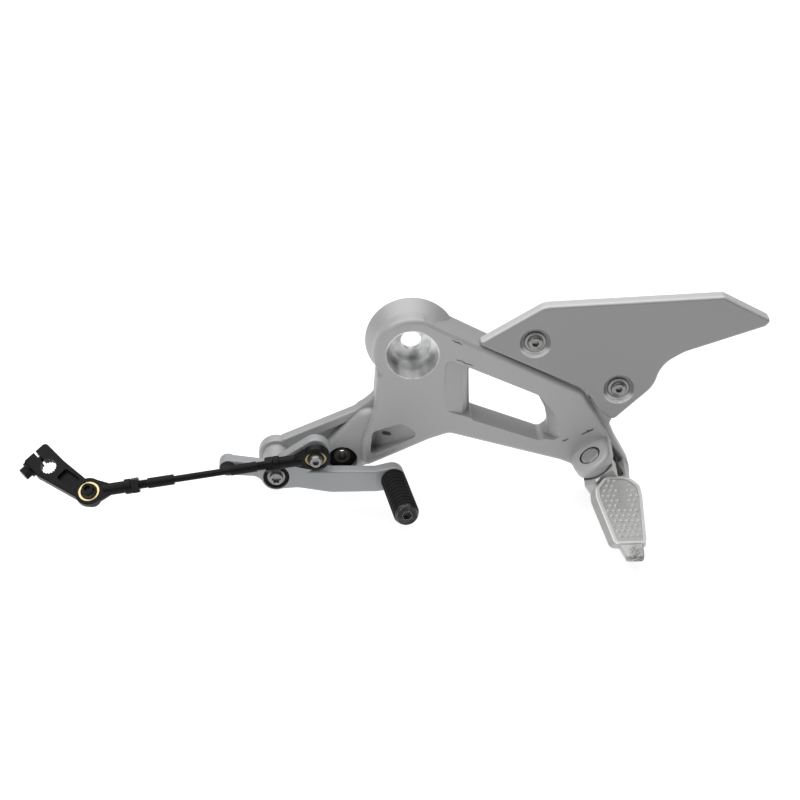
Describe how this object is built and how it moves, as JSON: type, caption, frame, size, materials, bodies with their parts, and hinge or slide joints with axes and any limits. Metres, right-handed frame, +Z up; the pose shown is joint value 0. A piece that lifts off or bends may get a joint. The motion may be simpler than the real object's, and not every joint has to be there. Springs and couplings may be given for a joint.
{
  "type": "footrest bracket",
  "caption": "Left footrest bracket of a motorbike: cast hanger with heel guard, folding studded footpeg, gear pedal and the rod and clamp arm that work the gearbox shaft.",
  "frame": {"origin": "centre of the main bore on the face that sits on the bike's frame", "axes": "+X to the rear of the bike along the bracket's length, +Y inward to the bike's frame, +Z up"},
  "size_m": [0.5427, 0.1312, 0.1626],
  "materials": {
    "cast_silver": "satin silver coat on a casting",
    "guard_silver": "smooth silver paint",
    "pedal_silver": "satin silver coat",
    "peg_alloy": "bare casting with bright edges",
    "black_steel": "satin black",
    "zinc_steel": "zinc plate",
    "dark_steel": "dark oiled steel",
    "brass_race": "plain metal",
    "black_rubber": "matt rubber",
    "black_plastic": "matt black"
  },
  "bodies": {
    "hanger": {"hanger": "cast_silver", "front_mount_bush": "black_rubber", "front_mount_sleeve": "dark_steel", "heel_guard": "guard_silver", "heel_guard_bolts": "zinc_steel", "pivot_sleeve": "zinc_steel", "pivot_washer": "black_steel", "pivot_seal": "black_rubber", "pivot_bolt": "zinc_steel", "footpeg_pin": "zinc_steel", "footpeg_clip": "dark_steel", "footpeg_spring": "dark_steel"},
    "gear_pedal": {"gear_pedal": "pedal_silver", "tail_plug": "black_plastic", "pedal_bush": "brass_race", "toe_peg_pin": "zinc_steel", "toe_peg_rubber": "black_rubber", "toe_peg_screw": "black_steel", "rear_ball": "dark_steel", "rear_ball_bolt": "zinc_steel", "rear_ball_nut": "zinc_steel"},
    "shift_rod": {"shift_rod": "black_steel", "rear_rod_end": "black_steel", "front_rod_end": "black_steel", "rear_race": "brass_race", "front_race": "brass_race", "lock_nuts": "black_steel"},
    "shift_arm": {"shift_arm": "black_steel", "pinch_bolt": "black_steel", "front_ball": "dark_steel", "front_ball_bolt": "black_steel"},
    "footpeg": {"footpeg": "peg_alloy"}
  },
  "joints": [
    {"name": "pedal_pivot", "type": "hinge", "parent": "hanger", "child": "gear_pedal", "pos_m": [-0.0994, -0.041, -0.0882], "axis": [0, 1, 0], "range_deg": [-10, 10]},
    {"name": "rod_swivel", "type": "hinge", "parent": "gear_pedal", "child": "shift_rod", "pos_m": [-0.0707, -0.0526, -0.0687], "axis": [0.0151, -0.9949, -0.0996], "range_deg": [-7.6, 7.6]},
    {"name": "arm_swivel", "type": "hinge", "parent": "shift_rod", "child": "shift_arm", "pos_m": [-0.234, -0.0526, -0.0934], "axis": [-0.0992, -0.7485, 0.6557], "range_deg": [-7.7, 7.7]},
    {"name": "footpeg_fold", "type": "hinge", "parent": "hanger", "child": "footpeg", "pos_m": [0.139, -0.0307, -0.0987], "axis": [-0.5, -0.1652, 0.8501], "range_deg": [0, 75], "stiffness_Nm_per_rad": 0.15, "springref_deg": -34.38}
  ],
  "couplings": [
    {"joint": "rod_swivel", "follows": "pedal_pivot", "ratio": 0.75691},
    {"joint": "arm_swivel", "follows": "pedal_pivot", "ratio": 0.76183}
  ]
}
